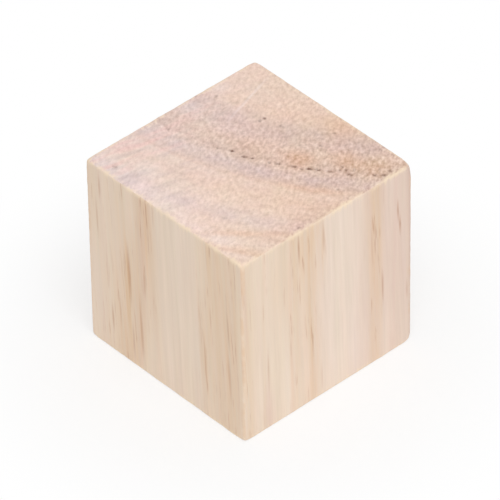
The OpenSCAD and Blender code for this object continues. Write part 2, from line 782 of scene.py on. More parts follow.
@dataclass(frozen=True)
class PlanedPine(PineFinish):
    """Pine planed along the grain: smooth, matt, with straight stripes of latewood.

    Attributes:
        outer: Colour of the wood far from the pith.
        outer_from: Distances from the pith at which the wood starts and ends changing to it.
        resin, tar: Colour of resin in a cut canal, and of its darkest core.
        line_share, streak_share, tar_share: How strongly the fine lines, the streaks and
            their cores show.
        line_gain, line_least: What the fine lines gain in latewood, and what they have anyway.
        tar_from: How dark a streak has to be before its core shows.
        fibre_swing, stripe_swing: Change of brightness over the fibres and over the stripes.
        tinge_size, tinge_swing: Size of the pinker, yellower and greyer places, and how far
            they change the colour.
        roughness: That of the soft earlywood and of the hard latewood.
    """

    # The planer's knife leaves the fibres whole, so the face is smooth and matt, with a faint
    # sheen where the latewood is hard.
    name: str = "planed_pine"
    outer: str = "#edd9c5"
    outer_from: tuple[float, float] = (56.0, 61.0)
    resin: str = "#b9805c"
    tar: str = "#80583f"
    line_share: float = 0.6
    line_gain: float = 1.9
    line_least: float = 0.07
    streak_share: float = 0.65
    tar_share: float = 0.7
    tar_from: float = 0.7
    fibre_swing: float = 0.032
    stripe_swing: float = 0.034
    tinge_size: tuple[float, float, float] = (1.6, 1.6, 30.0)
    tinge_swing: float = 0.015
    roughness: tuple[float, float] = (0.82, 0.65)
    bands: tuple[GrowthBand, ...] = (
        GrowthBand(33.8, 1.2, 0.8, Tint.AMBER, 0.20),
        GrowthBand(38.4, 2.2, 1.0, Tint.AMBER, 0.30),
        GrowthBand(46.9, 0.4, 0.3, Tint.ROSY, 0.15),
        GrowthBand(47.2, 4.0, 2.0, Tint.ROSY, 0.42),
        GrowthBand(48.6, 0.9, 0.9, Tint.ROSY, 0.18),
        GrowthBand(49.3, 1.4, 1.4, Tint.AMBER, 0.42),
        GrowthBand(49.8, 1.6, 4.2, Tint.ROSY, 0.36),
        GrowthBand(58.3, 2.2, 2.6, Tint.AMBER, 0.20),
        GrowthBand(58.3, 1.4, 0.8, Tint.AMBER, 0.20),
        GrowthBand(57.4, 2.4, 2.6, Tint.ROSY, 0.12),
        GrowthBand(61.0, 1.7, 0.7, Tint.AMBER, 0.34),
        GrowthBand(61.1, 0.5, 0.4, Tint.ROSY, 0.25),
        GrowthBand(65.2, 0.5, 0.4, Tint.AMBER, 0.12),
        GrowthBand(67.6, 1.8, 0.8, Tint.AMBER, 0.12),
    )
    patches: tuple[Patch, ...] = (
        Patch(-14.6, -15.0, 2.6, 1.6, Tint.PALE, 0.30, height=4.0, reach_up=14.0),
        Patch(-9.0, -15.0, 1.5, 1.4, Tint.AMBER, 0.18, height=6.0, reach_up=12.0),
        Patch(-7.9, -15.4, 0.8, 1.4, Tint.AMBER, 0.26, height=13.0, reach_up=8.0),
        Patch(-6.6, -15.0, 1.0, 1.4, Tint.PALE, 0.22, height=28.0, reach_up=7.0),
        Patch(-3.0, -15.0, 1.6, 1.4, Tint.AMBER, 0.24, height=17.0, reach_up=20.0),
        Patch(-3.0, -15.0, 1.0, 1.4, Tint.ROSY, 0.20, height=18.0, reach_up=16.0),
        Patch(10.3, -15.0, 4.6, 1.4, Tint.AMBER, 0.32),
        Patch(6.3, -15.0, 0.8, 0.9, Tint.AMBER, 0.40, height=9.0, reach_up=12.0),
        Patch(15.0, -14.8, 0.8, 0.5, Tint.ROSY, 0.45, height=12.0, reach_up=15.0),
        Patch(15.0, -8.2, 3.0, 3.0, Tint.AMBER, 0.17, height=25.0, reach_up=11.0),
        Patch(15.0, -6.7, 3.0, 0.7, Tint.PALE, 0.26, height=22.0, reach_up=18.0),
        Patch(15.0, -4.3, 3.0, 0.9, Tint.AMBER, 0.18, height=25.0, reach_up=9.0),
        Patch(15.0, -1.3, 3.0, 0.8, Tint.AMBER, 0.28, height=27.0, reach_up=9.0),
        Patch(15.0, -4.3, 3.0, 0.8, Tint.PALE, 0.20, height=5.0, reach_up=8.0),
        Patch(15.0, 7.0, 3.0, 1.0, Tint.AMBER, 0.14, height=26.0, reach_up=12.0),
        Patch(15.0, 13.4, 3.0, 1.1, Tint.SHADE, 0.13),
        Patch(15.0, 15.4, 3.0, 1.4, Tint.ROSY, 0.50),
        Patch(14.5, 15.0, 3.0, 1.0, Tint.SHADE, 0.32),
        Patch(14.0, 14.4, 3.0, 0.8, Tint.SHADE, 0.30, height=2.0, reach_up=13.0),
        Patch(14.0, -7.5, 3.0, 2.2, Tint.PALE, 0.26, height=2.0, reach_up=8.0),
        Patch(14.0, -11.4, 3.0, 1.0, Tint.ROSY, 0.45, height=2.0, reach_up=6.0),
        Patch(14.0, 6.0, 3.0, 9.0, Tint.PALE, 0.12, height=1.0, reach_up=8.0),
    )

    def add_latewood(self, wood: Wood) -> Node:
        """Adds the latewood, which is stronger in some fibres than in others.

        Args:
            wood: The growth figure's nodes.

        Returns:
            Node of its strength, from 0 to about 1.
        """
        uneven = add_node(wood.tree, MAP_RANGE, UNCLAMPED, {
            "Value": wood.fibre, "From Min": NOISE_LOW, "From Max": NOISE_HIGH,
            "To Min": 0.3, "To Max": 1.7,
        })
        return add_node(wood.tree, MATH, "MULTIPLY", {
            0: self.add_share(wood, Tint.AMBER), 1: uneven,
        })

    def paint_resin(self, wood: Wood, coat: Coat, latewood: Node) -> None:
        """Lays on the fine brown lines, which crowd in the latewood, and the resin streaks.

        Args:
            wood: The growth figure's nodes.
            coat: The colour so far.
            latewood: Node of the latewood's strength.
        """
        crowding = add_node(wood.tree, MATH, "MULTIPLY_ADD", {
            0: latewood, 1: self.line_gain, 2: self.line_least,
        })
        lines = add_node(wood.tree, MATH, "MULTIPLY", {0: wood.add_lines(), 1: crowding})
        coat.paint(self.resin, lines, self.line_share)
        streaks = wood.add_streaks()
        coat.paint(self.resin, streaks, self.streak_share)
        core = add_node(wood.tree, MAP_RANGE, {}, {
            "Value": streaks, "From Min": self.tar_from, "From Max": 1.0,
        })
        coat.paint(self.tar, core, self.tar_share)

    def dress(self, wood: Wood, coat: Coat) -> tuple[Node, Node]:
        """Lays on the colours of the four planed faces.

        Args:
            wood: The growth figure's nodes.
            coat: The colour of the bare wood.

        Returns:
            Node of the fibres, and node of the roughness.
        """
        start, stop = self.outer_from
        coat.paint(self.outer, add_node(wood.tree, MAP_RANGE, SMOOTH, {
            "Value": wood.radius, "From Min": start, "From Max": stop,
        }))
        self.paint_tints(wood, coat, Tint.ROSY)
        latewood = self.add_latewood(wood)
        coat.paint(self.amber, latewood)
        self.paint_tints(wood, coat, Tint.SHADE, Tint.PALE)
        seed = wood.figure.seed + Layer.TINGE
        coat.tinge(wood.grain, self.tinge_size, seed, self.tinge_swing)
        coat.tone(wood.fibre, self.fibre_swing)
        coat.tone(wood.add_stripes(), self.stripe_swing)
        self.paint_resin(wood, coat, latewood)
        early, late = self.roughness
        roughness = add_node(wood.tree, MAP_RANGE, {}, {
            "Value": latewood, "To Min": early, "To Max": late,
        })
        return wood.fibre, roughness


@dataclass(frozen=True)
class SawnPine(PineFinish):
    """Pine sawn across the grain: the cut fibre ends scatter light, so it is duller and speckled.

    Towards the back right corner, the rough side, the speckle is stronger, as the saw tore the
    fibres more there, and the colour is darker. Towards the front left corner, the smooth side,
    the colour is paler and the saw's strokes show instead.

    Attributes:
        pit, blush, dusk: Colour of an open canal, and of the pink and the dull saw strokes.
        pit_share, dusk_share: How strongly the pits and the dull strokes show.
        blush_share: How strongly the pink strokes show near the left face and away from it.
        blush_span: X at which the first of these starts and ends giving way to the second.
        rough_share, smooth_share: How strongly the rough side is shaded and the smooth paled.
        cloud_span: Distance over which the wood changes from plainer to rosier.
        cloud_gain, cloud_offset: What that noise is multiplied by for the rosiness, and what is
            added.
        smooth_gain: How much rosier the smooth side is.
        speckle_size, speckle_length: Size of the speckles across the rays and along them.
        speckle_swing, stroke_swing: Change of brightness over the speckles, which is partly painted
        shade in the hollows between the cut fibre ends, and over the strokes.
        calm: What the speckle is multiplied by in the inner and in the outer wood.
        inner_calm, outer_calm: Distances from the pith over which the first fades out and the
            second sets in.
        stroke_steps: Steps of the strokes' noise in a millimetre, across them and along them.
        saw_angle: Direction of the strokes, turned from +Y towards +X, in degrees.
        tinge_size, tinge_swing: As for the planed faces.
        roughness: That of the deepest and of the highest speckles.
    """

    # The saw leaves the ends of the fibres torn and open, so the face is dull and speckled.
    name: str = "sawn_pine_end_grain"
    bare: str = "#f5d9c5"
    rosy: str = "#dcc3bf"
    amber: str = "#e0a878"
    shade: str = "#a87c72"
    pale: str = "#fcece9"
    pit: str = "#6f4c3c"
    blush: str = "#f0cac1"
    dusk: str = "#cbb3b4"
    pit_share: float = 0.8
    dusk_share: float = 0.22
    blush_share: tuple[float, float] = (0.7, 0.15)
    blush_span: tuple[float, float] = (-12.0, -7.0)
    rough_share: float = 0.13
    smooth_share: float = 0.35
    cloud_span: float = 5.0
    cloud_gain: float = 0.6
    cloud_offset: float = -0.28
    smooth_gain: float = 0.35
    # A cut fibre is about 0.04 mm wide, which is too fine to show, so clumps are drawn.
    speckle_size: float = 0.5
    speckle_length: float = 0.8
    speckle_swing: float = 0.36
    calm: float = 0.6
    inner_calm: tuple[float, float] = (36.0, 46.0)
    outer_calm: tuple[float, float] = (47.0, 53.0)
    stroke_swing: float = 0.07
    stroke_steps: tuple[float, float, float] = (0.9, 0.16, 0.16)
    saw_angle: float = 12.0
    tinge_size: tuple[float, float, float] = (6.0, 6.0, 6.0)
    tinge_swing: float = 0.025
    roughness: tuple[float, float] = (0.88, 0.98)
    relief: float = 0.02
    bands: tuple[GrowthBand, ...] = (
        GrowthBand(41.3, 4.2, 4.0, Tint.ROSY, 0.42),
        GrowthBand(41.5, 4.5, 5.0, Tint.SHADE, 0.12),
        GrowthBand(46.6, 4.0, 3.0, Tint.SHADE, 0.17),
        GrowthBand(47.1, 0.6, 0.4, Tint.SHADE, 0.10),
        GrowthBand(49.3, 2.2, 2.2, Tint.ROSY, 0.50),
        GrowthBand(37.5, 2.0, 2.5, Tint.AMBER, 0.06),
        GrowthBand(45.2, 2.5, 1.5, Tint.AMBER, 0.06),
        GrowthBand(51.2, 0.9, 0.6, Tint.AMBER, 0.07),
        GrowthBand(50.6, 2.0, 1.4, Tint.SHADE, 0.12),
        GrowthBand(54.0, 2.6, 2.6, Tint.AMBER, 0.09),
        GrowthBand(58.8, 2.6, 2.2, Tint.ROSY, 0.36),
        GrowthBand(59.0, 3.0, 2.4, Tint.PALE, 0.10),
        GrowthBand(61.8, 0.8, 1.4, Tint.AMBER, 0.06),
        GrowthBand(65.5, 1.6, 0.8, Tint.AMBER, 0.22),
    )
    patches: tuple[Patch, ...] = (
        Patch(4.3, 5.0, 2.2, 2.0, Tint.AMBER, 0.38),
        Patch(-1.5, 2.0, 2.6, 1.5, Tint.AMBER, 0.10, turn=-35.0),
        Patch(8.7, 9.3, 2.4, 2.0, Tint.AMBER, 0.28),
        Patch(12.3, 10.8, 2.4, 2.2, Tint.AMBER, 0.24),
        Patch(3.1, 13.5, 3.4, 2.6, Tint.AMBER, 0.22),
        Patch(-2.0, 1.0, 2.6, 1.5, Tint.SHADE, 0.12, turn=-35.0),
        Patch(14.5, -3.0, 2.5, 6.0, Tint.AMBER, 0.12),
        Patch(10.3, -10.3, 6.5, 0.7, Tint.AMBER, 0.20, turn=45.0),
        Patch(10.0, 2.0, 5.0, 0.9, Tint.AMBER, 0.18, turn=35.0),
        Patch(14.5, -3.0, 2.5, 6.0, Tint.SHADE, 0.08),
        Patch(0.0, -14.0, 12.0, 1.8, Tint.PALE, 0.20),
        Patch(-13.8, 2.0, 1.8, 1.6, Tint.PALE, 0.30),
        Patch(-13.8, 7.5, 1.6, 1.6, Tint.PALE, 0.30),
        Patch(-7.5, -10.5, 2.0, 1.8, Tint.PALE, 0.25),
        Patch(-9.5, 8.7, 0.25, 6.0, Tint.PALE, 0.38, turn=17.0),
        Patch(10.0, -13.0, 2.4, 1.2, Tint.PALE, 0.25, turn=45.0),
    )

    def add_sides(self, wood: Wood) -> tuple[Node, Node]:
        """Adds how far a place is towards the rough side and towards the smooth side.

        Args:
            wood: The growth figure's nodes.

        Returns:
            Two nodes, one for each side, from 0 to 1.
        """
        along_both = add_node(wood.tree, VECTOR_MATH, "DOT_PRODUCT", {
            0: wood.place, 1: (1.0, 1.0, 0.0),
        })
        rough = add_node(wood.tree, MAP_RANGE, {}, {
            "Value": along_both.outputs["Value"],
            "From Min": -2 * self.half_width, "From Max": 2 * self.half_width,
        })
        smooth = add_node(wood.tree, MAP_RANGE, {}, {
            "Value": rough, "From Min": 0.1, "From Max": 0.6, "To Min": 1.0, "To Max": 0.0,
        })
        return rough, smooth

    def paint_growth(self, wood: Wood, coat: Coat, rough: Node, smooth: Node) -> None:
        """Lays on the colours that the wood grew with, and what sawing did to them.

        Args:
            wood: The growth figure's nodes.
            coat: The colour of the bare wood.
            rough: How far a place is towards the rough side.
            smooth: How far it is towards the smooth side.
        """
        tree = wood.tree
        cloud = add_node(tree, NOISE, SEEDED, {
            "Vector": wood.grain, "W": wood.figure.seed + Layer.CLOUD,
            "Scale": 1 / self.cloud_span, "Detail": 5.0, "Roughness": 0.6,
        })
        mottle = add_node(tree, MATH, "MULTIPLY_ADD", {
            0: cloud, 1: self.cloud_gain, 2: self.cloud_offset,
        })
        mottle = add_node(tree, MATH, "MULTIPLY_ADD", {0: smooth, 1: self.smooth_gain, 2: mottle})
        patchy = add_node(tree, MAP_RANGE, {}, {
            "Value": cloud, "From Min": 0.35, "From Max": 0.65, "To Min": 0.6, "To Max": 1.4,
        })
        mauve = add_node(tree, MATH, "MULTIPLY_ADD", {
            0: self.add_share(wood, Tint.ROSY), 1: patchy, 2: mottle,
        })
        shaded = add_node(tree, MAP_RANGE, {}, {
            "Value": rough, "From Min": 0.35, "From Max": 0.85, "To Max": self.rough_share,
        })
        coat.paint(self.rosy, mauve)
        coat.paint(self.shade, shaded)
        coat.paint(self.pale, smooth, self.smooth_share)
        self.paint_tints(wood, coat, Tint.AMBER, Tint.SHADE, Tint.PALE)

    def paint_strokes(self, wood: Wood, coat: Coat, smooth: Node) -> None:
        """Lays on the strokes of the saw: lighter and darker, and some pink or dull.

        Args:
            wood: The growth figure's nodes.
            coat: The colour so far.
            smooth: How far a place is towards the smooth side.
        """
        tree = wood.tree
        turned = add_node(tree, ROTATE, ABOUT_GRAIN, {
            "Vector": wood.place, "Angle": math.radians(self.saw_angle),
        })
        drawn_out = add_node(tree, VECTOR_MATH, "MULTIPLY", {0: turned, 1: self.stroke_steps})
        noise = add_node(tree, NOISE, SEEDED, {
            "Vector": drawn_out, "W": wood.figure.seed + Layer.STROKE, "Scale": 1.0,
            "Detail": 2.0, "Roughness": 0.5,
        })
        strokes = add_node(tree, MIX, {}, {"Factor": smooth, "A": 0.5, "B": noise})
        coat.tone(strokes, self.stroke_swing)
        start, stop = self.blush_span
        near, away = self.blush_share
        most = add_node(tree, MAP_RANGE, {}, {
            "Value": add_node(tree, SEPARATE, {}, {0: wood.place}),
            "From Min": start, "From Max": stop, "To Min": near, "To Max": away,
        })
        coat.paint(self.blush, add_node(tree, MAP_RANGE, SMOOTH, {
            "Value": strokes, "From Min": 0.45, "From Max": 0.68, "To Max": most,
        }))
        dull = add_node(tree, MAP_RANGE, SMOOTH, {
            "Value": strokes, "From Min": 0.52, "From Max": 0.3,
        })
        coat.paint(self.dusk, dull, self.dusk_share)

    def add_speckle(self, wood: Wood) -> Node:
        """Adds the noise of the cut fibre ends, drawn out along the rays.

        Args:
            wood: The growth figure's nodes.

        Returns:
            The noise node, about 0.5 on average.
        """
        along_rays = add_node(wood.tree, ROTATE, ABOUT_GRAIN, {
            "Vector": wood.place, "Angle": -math.radians(wood.figure.ray_angle),
        })
        size = (self.speckle_size, self.speckle_length, self.speckle_size)
        drawn_out = add_node(wood.tree, VECTOR_MATH, "MULTIPLY", {
            0: along_rays, 1: tuple(1 / length for length in size),
        })
        return add_node(wood.tree, NOISE, SEEDED, {
            "Vector": drawn_out, "W": wood.figure.seed + Layer.SPECKLE, "Scale": 1.0,
            "Detail": 3.0, "Roughness": 0.62,
        })

    def add_grit(self, wood: Wood, rough: Node) -> Node:
        """Adds how strongly the speckle shows: most on the rough side, least in the calm wood.

        Args:
            wood: The growth figure's nodes.
            rough: How far a place is towards the rough side.

        Returns:
            Node of that strength, from 0 to 1.
        """
        grit = add_node(wood.tree, MAP_RANGE, {}, {
            "Value": rough, "From Min": 0.25, "From Max": 0.85, "To Min": 0.55, "To Max": 0.85,
        })
        for (start, stop), first, last in (
            (self.inner_calm, self.calm, 1.0), (self.outer_calm, 1.0, self.calm)
        ):
            calm = add_node(wood.tree, MAP_RANGE, SMOOTH, {
                "Value": wood.radius, "From Min": start, "From Max": stop,
                "To Min": first, "To Max": last,
            })
            grit = add_node(wood.tree, MATH, "MULTIPLY", {0: grit, 1: calm})
        return grit

    def dress(self, wood: Wood, coat: Coat) -> tuple[Node, Node]:
        """Lays on the colours of the two sawn ends.

        Args:
            wood: The growth figure's nodes.
            coat: The colour of the bare wood.

        Returns:
            Node of the speckle, and node of the roughness.
        """
        rough, smooth = self.add_sides(wood)
        self.paint_growth(wood, coat, rough, smooth)
        self.paint_strokes(wood, coat, smooth)
        seed = wood.figure.seed + Layer.TINGE
        coat.tinge(wood.place, self.tinge_size, seed, self.tinge_swing)
        speckle = self.add_speckle(wood)
        # The speckle's darker spots are partly painted shade in the hollows between the cut fibre
        # ends, where the bump is lowest; the rest is the wood's own spotting.
        coat.tone(add_node(wood.tree, MIX, {}, {
            "Factor": self.add_grit(wood, rough), "A": 0.5, "B": speckle,
        }), self.speckle_swing)
        broken = add_node(wood.tree, MAP_RANGE, {}, {
            "Value": speckle, "From Min": 0.35, "From Max": 0.6, "To Min": 1.5, "To Max": 0.6,
        })
        pits = add_node(wood.tree, MATH, "MULTIPLY", {0: wood.add_canals(), 1: broken})
        coat.paint(self.pit, pits, self.pit_share)
        deepest, highest = self.roughness
        roughness = add_node(wood.tree, MAP_RANGE, {}, {
            "Value": speckle, "To Min": deepest, "To Max": highest,
        })
        return speckle, roughness


@dataclass(frozen=True)
class Blunting:
    """A corner that is worn rounder than the rest.

    Attributes:
        corner: Which corner, as the signs of its place from the block's middle.
        extra: How much is added to the rounding radius there.
        reach: How far from the corner the extra rounding runs out.
    """

    corner: tuple[int, int, int]
    extra: float
    reach: float


@dataclass
class WoodenCube:
    """The block itself, its one mesh and its two finishes.

    Attributes:
        figure: The wood's growth figure.
        planed, sawn: The finishes of the four sides and of the two ends.
        width, length: The block's size across and along the grain.
        long_arris, end_arris: Rounding radius between two sides, and between side and end.
        corner_extra: What is added to the radius at a corner.
        blend: Distances from a long arris over which its radius gives way to that of the ends.
        uneven, uneven_span: How far the radius is off, and the distance over which it changes.
        fuzz_size, fuzz_depth: Size and depth of the hollows between the cut fibres of an end.
        pit_depth, groove_depth: Depth of a resin canal on an end, and cut open on a side.
        hollow_depth: How far the soft earlywood of a side lies below the latewood.
        fibre_depth: Depth between the fibres of a side.
        cells_across, cells_along: Number of mesh cells across and along the grain.
        crowding, crowding_power: A vertex at p, from -1 to 1, moves outwards by crowding times
            p - p ^ crowding_power, so that the cells crowd at the arrises.
        uv_margin: Share of its cell of the UV map that a face fills.
        seed: Seed of the wear and of the fuzz.
        bluntings: The corners that are worn rounder than the rest.
        tree: The block's geometry tree, once it is started.
        given: The node of the tree's inputs.
    """

    figure: PineFigure
    planed: PlanedPine
    sawn: SawnPine
    width: float
    length: float
    long_arris: float = 0.4
    end_arris: float = 0.3
    corner_extra: float = 0.1
    blend: tuple[float, float] = (0.2, 1.4)
    uneven: float = 0.1
    uneven_span: float = 2.0
    fuzz_size: float = 0.5
    fuzz_depth: float = 0.025
    pit_depth: float = 0.06
    groove_depth: float = 0.04
    hollow_depth: float = 0.015
    fibre_depth: float = 0.006
    cells_across: int = 150
    cells_along: int = 90
    crowding: float = 0.08
    crowding_power: float = 9.0
    uv_margin: float = 0.97
    seed: float = 11.0
    bluntings: tuple[Blunting, ...] = (
        Blunting(corner=(1, 1, 1), extra=0.4, reach=2.2),
        Blunting(corner=(1, 1, -1), extra=0.3, reach=1.5),
        Blunting(corner=(1, -1, 1), extra=0.2, reach=1.2),
    )
    tree: NodeTree | None = field(init=False, default=None)
    given: Any = field(init=False, default=None)

    def inputs(self) -> dict[str, float]:
        """Lists the tree's inputs.

        Returns:
            Their values by name.
        """
        return {
            "Width": self.width,
            "Length": self.length,
            "Long Arris Radius": self.long_arris,
            "End Arris Radius": self.end_arris,
            "Corner Extra": self.corner_extra,
            "Seed": self.seed,
        }

    def start_tree(self) -> None:
        """Starts the geometry tree, with its inputs and its output."""
        self.tree = bpy.data.node_groups.new("wooden_cube", "GeometryNodeTree")
        for name in self.inputs():
            self.tree.interface.new_socket(name, in_out="INPUT", socket_type="NodeSocketFloat")
        self.tree.interface.new_socket("Block", in_out="OUTPUT", socket_type="NodeSocketGeometry")
        self.given = add_node(self.tree, "NodeGroupInput").outputs

    def add_bake_map(self, block: Node, way: NodeSocket, spread: Node) -> Node:
        """Adds the UV map: six faces in three columns, one for each axis, and two rows.

        Args:
            block: Node that gives the flat-sided block.
            way: Each face's outward direction.
            spread: Place on the flat block, from -1 to 1 along each axis.

        Returns:
            The node that stores the map.
        """
        tree = self.tree
        way_x, way_y, way_z = add_node(tree, SEPARATE, {}, {0: way}).outputs
        x, y, z = add_node(tree, SEPARATE, {}, {0: spread}).outputs
        plain = add_node(tree, VECTOR_MATH, "ABSOLUTE", {0: way})
        _, on_y, on_z = add_node(tree, SEPARATE, {}, {0: plain}).outputs
        side_sign = add_node(tree, MATH, "SUBTRACT", {0: way_y, 1: way_x})
        end_part = add_node(tree, MATH, "MULTIPLY", {0: way_z, 1: x})
        u = add_node(tree, MATH, "MULTIPLY_ADD", {0: side_sign, 1: z, 2: end_part})
        v = add_node(tree, MIX, {}, {"Factor": on_y, "A": y, "B": x})
        column = add_node(tree, MATH, "MULTIPLY_ADD", {0: on_z, 1: 2.0, 2: on_y})
        total = add_node(tree, VECTOR_MATH, "DOT_PRODUCT", {0: way, 1: (1.0, 1.0, 1.0)})
        row = add_node(tree, MATH, "GREATER_THAN", {0: total.outputs["Value"], 1: 0.0})
        cell = add_node(tree, COMBINE, {}, {0: column, 1: row})
        centred = add_node(tree, VECTOR_MATH, "MULTIPLY_ADD", {
            0: add_node(tree, COMBINE, {}, {0: u, 1: v}),
            1: (self.uv_margin / 2, self.uv_margin / 2, 0.0),
            2: (0.5, 0.5, 0.0),
        })
        in_cell = add_node(tree, VECTOR_MATH, "ADD", {0: cell, 1: centred})
        sheet = add_node(tree, VECTOR_MATH, "MULTIPLY", {0: in_cell, 1: (1 / 3, 1 / 2, 0.0)})
        return add_node(tree, "GeometryNodeStoreNamedAttribute", {
            "data_type": "FLOAT2", "domain": "CORNER",
        }, {"Geometry": block, "Name": "OFBake", "Value": sheet})

    def add_radius(self, flat: Node, half: Node) -> Node:
        """Adds the rounding radius, which is uneven and greater at the corners.

        Args:
            flat: Place on the flat-sided block, from its middle.
            half: Half the block's size along each axis.

        Returns:
            Node that gives the radius.
        """
        tree, given = self.tree, self.given
        outward = add_node(tree, VECTOR_MATH, "ABSOLUTE", {0: flat})
        inset = add_node(tree, VECTOR_MATH, "SUBTRACT", {0: half, 1: outward})
        start, stop = self.blend
        near = add_node(tree, MAP_RANGE, {"data_type": "FLOAT_VECTOR", **SMOOTH}, {
            0: inset, 1: (start,) * 3, 2: (stop,) * 3, 3: (1.0,) * 3, 4: (0.0,) * 3,
        }).outputs["Vector"]
        near_x, near_y, near_end = add_node(tree, SEPARATE, {}, {0: near}).outputs
        on_long = add_node(tree, MATH, "MULTIPLY", {0: near_x, 1: near_y})
        at_corner = add_node(tree, MATH, "MULTIPLY", {0: on_long, 1: near_end})
        eased = add_node(tree, MIX, {}, {
            "Factor": on_long, "A": given["End Arris Radius"], "B": given["Long Arris Radius"],
        })
        radius = add_node(tree, MATH, "MULTIPLY_ADD", {
            0: at_corner, 1: given["Corner Extra"], 2: eased,
        })
        noise = add_node(tree, NOISE, SEEDED, {
            "Vector": flat, "W": given["Seed"], "Scale": 1 / self.uneven_span,
            "Detail": 4.0, "Roughness": 0.65,
        })
        uneven = add_node(tree, MAP_RANGE, UNCLAMPED, {
            "Value": noise, "From Min": NOISE_LOW, "From Max": NOISE_HIGH,
            "To Min": -self.uneven, "To Max": self.uneven,
        })
        radius = add_node(tree, MATH, "ADD", {0: radius, 1: uneven})
        for blunting in self.bluntings:
            corner = add_node(tree, VECTOR_MATH, "MULTIPLY", {0: half, 1: blunting.corner})
            distance = add_node(tree, VECTOR_MATH, "DISTANCE", {0: flat, 1: corner})
            extra = add_node(tree, MAP_RANGE, SMOOTH, {
                "Value": distance, "From Min": 0.0, "From Max": blunting.reach,
                "To Min": blunting.extra, "To Max": 0.0,
            })
            radius = add_node(tree, MATH, "ADD", {0: radius, 1: extra})
        return radius

    def add_rounding(self, flat: Node, half: Node) -> tuple[Node, Node]:
        """Adds the eased arrises and the worn corners.

        Args:
            flat: Place on the flat-sided block, from its middle.
            half: Half the block's size along each axis.

        Returns:
            The place on the eased block, from its middle, and the outward direction there.
        """
        tree = self.tree
        radius = self.add_radius(flat, half)
        reach = add_node(tree, VECTOR_MATH, "SUBTRACT", {0: half, 1: radius})
        back = add_node(tree, VECTOR_MATH, "SCALE", {0: reach, "Scale": -1.0})
        below = add_node(tree, VECTOR_MATH, "MINIMUM", {0: flat, 1: reach})
        core = add_node(tree, VECTOR_MATH, "MAXIMUM", {0: below, 1: back})
        off_core = add_node(tree, VECTOR_MATH, "SUBTRACT", {0: flat, 1: core})
        normal = add_node(tree, VECTOR_MATH, "NORMALIZE", {0: off_core})
        rounded = add_node(tree, VECTOR_MATH, "MULTIPLY_ADD", {0: normal, 1: radius, 2: core})
        return rounded, normal

    def add_relief(self, place: Node, normal: Node) -> Node:
        """Adds how far the finished surface lies below the eased block.

        Args:
            place: Place on the eased block, in the part's frame.
            normal: Outward direction there.

        Returns:
            Node that holds the depth in millimetres.
        """
        tree = self.tree
        wood = Wood(tree, self.figure, place)
        _, _, upward = add_node(tree, SEPARATE, {}, {0: normal}).outputs
        endness = add_node(tree, MATH, "ABSOLUTE", {0: upward})
        noise = add_node(tree, NOISE, SEEDED, {
            "Vector": place, "W": self.given["Seed"], "Scale": 1 / self.fuzz_size,
            "Detail": 2.0, "Roughness": 0.6,
        })
        fuzz = add_node(tree, MAP_RANGE, {}, {
            "Value": noise, "From Min": NOISE_LOW, "From Max": 0.75,
            "To Min": self.fuzz_depth, "To Max": 0.0,
        })
        end = add_node(tree, MATH, "MULTIPLY_ADD", {
            0: wood.add_canals(), 1: self.pit_depth, 2: fuzz,
        })
        hollows = add_node(tree, MAP_RANGE, {}, {
            "Value": self.planed.add_share(wood, Tint.AMBER), "From Max": 0.5,
            "To Min": self.hollow_depth, "To Max": 0.0,
        })
        grooves = add_node(tree, MATH, "MULTIPLY_ADD", {
            0: wood.add_streaks(), 1: self.groove_depth, 2: hollows,
        })
        side = add_node(tree, MATH, "MULTIPLY_ADD", {
            0: wood.fibre, 1: self.fibre_depth, 2: grooves,
        })
        return add_node(tree, MIX, {}, {"Factor": endness, "A": side, "B": end})

    def make_tree(self, planed: Material, sawn: Material) -> NodeTree:
        """Makes the block's geometry tree.

        Args:
            planed: Material of the four planed faces.
            sawn: Material of the two sawn ends.

        Returns:
            The tree, with its sizes as named inputs.
        """
        self.start_tree()
        tree, given = self.tree, self.given
        grid = add_node(tree, "GeometryNodeMeshCube", {}, {
            "Size": (2.0, 2.0, 2.0), "Vertices X": self.cells_across + 1,
            "Vertices Y": self.cells_across + 1, "Vertices Z": self.cells_along + 1,
        })
        facing = add_node(tree, "GeometryNodeInputNormal")
        kept = add_node(tree, "GeometryNodeCaptureAttribute", {"domain": "FACE"}, {"Geometry": grid})
        kept.capture_items.new("VECTOR", "Way")
        tree.links.new(facing.outputs[0], kept.inputs["Way"])
        way = kept.outputs["Way"]
        at = add_node(tree, "GeometryNodeInputPosition")
        power = add_node(tree, VECTOR_MATH, "POWER", {0: at, 1: (self.crowding_power,) * 3})
        shift = add_node(tree, VECTOR_MATH, "SUBTRACT", {0: at, 1: power})
        spread = add_node(tree, VECTOR_MATH, "MULTIPLY_ADD", {
            0: shift, 1: (self.crowding,) * 3, 2: at,
        })
        mapped = self.add_bake_map(kept, way, spread)
        size = add_node(tree, COMBINE, {}, {
            0: given["Width"], 1: given["Width"], 2: given["Length"],
        })
        half = add_node(tree, VECTOR_MATH, "SCALE", {0: size, "Scale": 0.5})
        flat = add_node(tree, VECTOR_MATH, "MULTIPLY", {0: spread, 1: half})
        rounded, normal = self.add_rounding(flat, half)
        raised = add_node(tree, VECTOR_MATH, "MULTIPLY", {0: half, 1: (0.0, 0.0, 1.0)})
        place = add_node(tree, VECTOR_MATH, "ADD", {0: rounded, 1: raised})
        depth = self.add_relief(place, normal)
        inward = add_node(tree, VECTOR_MATH, "SCALE", {0: normal, "Scale": depth})
        surface = add_node(tree, VECTOR_MATH, "SUBTRACT", {0: place, 1: inward})
        metres = add_node(tree, VECTOR_MATH, "SCALE", {0: surface, "Scale": MM})
        moved = add_node(tree, "GeometryNodeSetPosition", {}, {"Geometry": mapped, "Position": metres})
        smooth = add_node(tree, "GeometryNodeSetShadeSmooth", {}, {"Geometry": moved})
        real = add_node(tree, "GeometryNodeRealizeInstances", {}, {"Geometry": smooth})
        plain = add_node(tree, VECTOR_MATH, "ABSOLUTE", {0: way})
